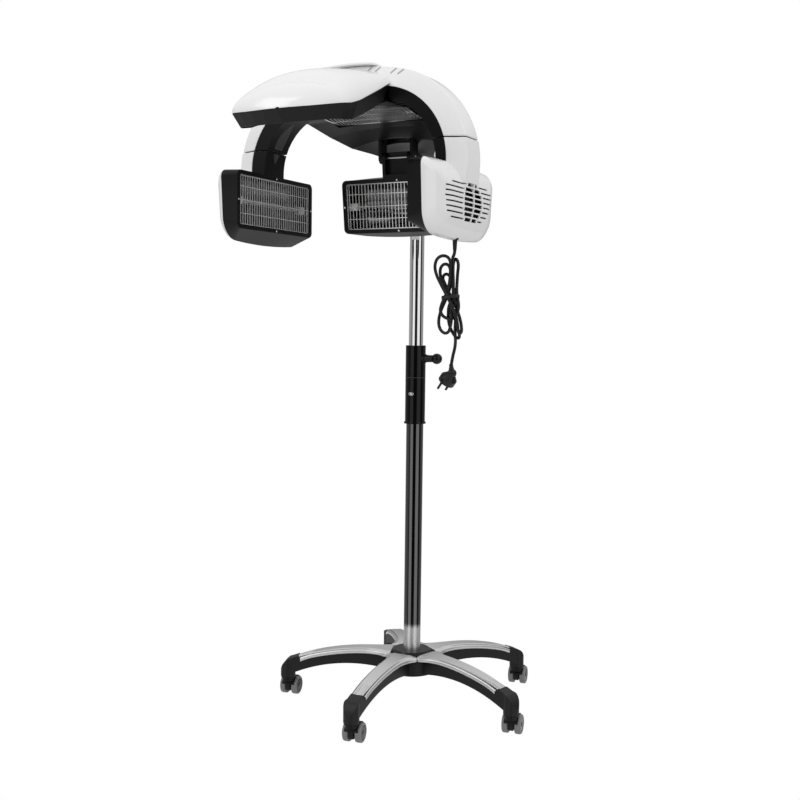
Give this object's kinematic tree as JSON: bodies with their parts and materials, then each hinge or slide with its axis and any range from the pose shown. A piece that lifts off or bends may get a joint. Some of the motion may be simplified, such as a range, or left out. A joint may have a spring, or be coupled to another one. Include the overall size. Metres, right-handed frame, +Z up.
{
  "type": "hair color processor",
  "caption": "Infrared hair processor: hooded arch head with side, rear and top heat lamps on a telescopic column with a star base on casters.",
  "frame": {"origin": "point on the floor under the column axis", "axes": "+Z up along the column, -Y towards the front of the canopy, +X the side whose lamp pod has the mains cord and the clamp knob"},
  "size_m": [0.599, 0.8396, 1.3766],
  "materials": {
    "frame_black": "fine black texture",
    "cover_grey": "satin metallic grey",
    "chrome_tube": "polished",
    "black_plastic": "satin",
    "tread_grey": "satin",
    "steel": "satin",
    "white_shell": "gloss",
    "black_liner": "satin",
    "wire_chrome": "polished",
    "polished": "polished",
    "quartz": "clear tube over a pale filament, white ceramic ends",
    "board_green": "satin",
    "fan_black": "satin",
    "cord_black": "satin"
  },
  "bodies": {
    "base": {"star_base": "frame_black", "leg_covers": "cover_grey", "hub_cap": "black_plastic", "base_bolt": "frame_black", "lower_tube": "chrome_tube", "clamp_sleeve": "black_plastic", "sleeve_bush": "black_plastic"},
    "caster_1": {"caster_fork_1": "black_plastic"},
    "wheels_1": {"caster_wheels_1": "tread_grey"},
    "caster_2": {"caster_fork_2": "black_plastic"},
    "wheels_2": {"caster_wheels_2": "tread_grey"},
    "caster_3": {"caster_fork_3": "black_plastic"},
    "wheels_3": {"caster_wheels_3": "tread_grey"},
    "caster_4": {"caster_fork_4": "black_plastic"},
    "wheels_4": {"caster_wheels_4": "tread_grey"},
    "caster_5": {"caster_fork_5": "black_plastic"},
    "wheels_5": {"caster_wheels_5": "tread_grey"},
    "knob": {"clamp_knob": "black_plastic"},
    "mast": {"upper_tube": "chrome_tube", "tube_glide": "black_plastic"},
    "head": {"head_frame": "frame_black", "arch_shell_left": "white_shell", "arch_shell_right": "white_shell", "arch_liner_left": "black_liner", "arch_liner_right": "black_liner", "crown_pad": "white_shell", "canopy_shell": "white_shell", "canopy_rim": "black_liner", "canopy_liner": "black_liner", "hood_shell": "white_shell", "hood_liner": "black_liner", "top_grille": "wire_chrome", "top_reflector": "polished", "top_heaters": "quartz", "control_board": "board_green", "pivot_pins": "steel"},
    "rear_lamp": {"rear_casing": "white_shell", "rear_bezel": "black_liner", "rear_grille": "wire_chrome", "rear_reflector": "polished", "rear_heater": "quartz"},
    "right_lamp": {"right_casing": "white_shell", "right_bezel": "black_liner", "right_grille": "wire_chrome", "right_reflector": "polished", "right_heater": "quartz", "right_fan_frame": "fan_black", "strain_relief": "cord_black", "cord_lead": "cord_black", "cord_hank": "cord_black", "cord_tail": "cord_black", "plug": "cord_black"},
    "right_fan": {"right_fan_rotor": "fan_black"},
    "left_lamp": {"left_casing": "white_shell", "left_bezel": "black_liner", "left_grille": "wire_chrome", "left_reflector": "polished", "left_heater": "quartz", "left_fan_frame": "fan_black"},
    "left_fan": {"left_fan_rotor": "fan_black"}
  },
  "joints": [
    {"name": "mast_slide", "type": "slide", "parent": "base", "child": "mast", "axis": [0, 0, 1], "range_m": [-0.24, 0.15]},
    {"name": "head_swivel", "type": "hinge", "parent": "mast", "child": "head", "pos_m": [0, 0, 1.28], "axis": [0, 0, 1], "range_deg": [-90, 90]},
    {"name": "knob_turn", "type": "hinge", "parent": "base", "child": "knob", "pos_m": [0.03, 0, 0.792], "axis": [1, 0, 0], "range_deg": [-180, 180]},
    {"name": "rear_tilt", "type": "hinge", "parent": "head", "child": "rear_lamp", "pos_m": [0, -0.0954, 1.2257], "axis": [1, 0, 0], "range_deg": [-15, 5]},
    {"name": "right_open", "type": "hinge", "parent": "head", "child": "right_lamp", "pos_m": [0.244, -0.277, 1.234], "axis": [0, -1, 0], "range_deg": [0, 12]},
    {"name": "left_open", "type": "hinge", "parent": "head", "child": "left_lamp", "pos_m": [-0.244, -0.277, 1.234], "axis": [0, 1, 0], "range_deg": [0, 12]},
    {"name": "right_fan_spin", "type": "hinge", "parent": "right_lamp", "child": "right_fan", "pos_m": [0.24, -0.268, 1.1003], "axis": [1, 0, 0], "continuous": true},
    {"name": "left_fan_spin", "type": "hinge", "parent": "left_lamp", "child": "left_fan", "pos_m": [-0.24, -0.268, 1.1003], "axis": [1, 0, 0], "continuous": true},
    {"name": "caster_swivel_1", "type": "hinge", "parent": "base", "child": "caster_1", "pos_m": [0.01012, -0.28982, 0.05], "axis": [0, 0, 1], "continuous": true},
    {"name": "wheel_roll_1", "type": "hinge", "parent": "caster_1", "child": "wheels_1", "pos_m": [0.00682, -0.27111, 0.021], "axis": [-0.9848, -0.1736, 0], "continuous": true},
    {"name": "caster_swivel_2", "type": "hinge", "parent": "base", "child": "caster_2", "pos_m": [0.27877, -0.07994, 0.05], "axis": [0, 0, 1], "continuous": true},
    {"name": "wheel_roll_2", "type": "hinge", "parent": "caster_2", "child": "wheels_2", "pos_m": [0.27547, -0.06122, 0.021], "axis": [-0.9848, -0.1736, 0], "continuous": true},
    {"name": "caster_swivel_3", "type": "hinge", "parent": "base", "child": "caster_3", "pos_m": [0.16217, 0.24042, 0.05], "axis": [0, 0, 1], "continuous": true},
    {"name": "wheel_roll_3", "type": "hinge", "parent": "caster_3", "child": "wheels_3", "pos_m": [0.15887, 0.25913, 0.021], "axis": [-0.9848, -0.1736, 0], "continuous": true},
    {"name": "caster_swivel_4", "type": "hinge", "parent": "base", "child": "caster_4", "pos_m": [-0.17854, 0.22852, 0.05], "axis": [0, 0, 1], "continuous": true},
    {"name": "wheel_roll_4", "type": "hinge", "parent": "caster_4", "child": "wheels_4", "pos_m": [-0.18184, 0.24723, 0.021], "axis": [-0.9848, -0.1736, 0], "continuous": true},
    {"name": "caster_swivel_5", "type": "hinge", "parent": "base", "child": "caster_5", "pos_m": [-0.27251, -0.09919, 0.05], "axis": [0, 0, 1], "continuous": true},
    {"name": "wheel_roll_5", "type": "hinge", "parent": "caster_5", "child": "wheels_5", "pos_m": [-0.27581, -0.08047, 0.021], "axis": [-0.9848, -0.1736, 0], "continuous": true}
  ]
}
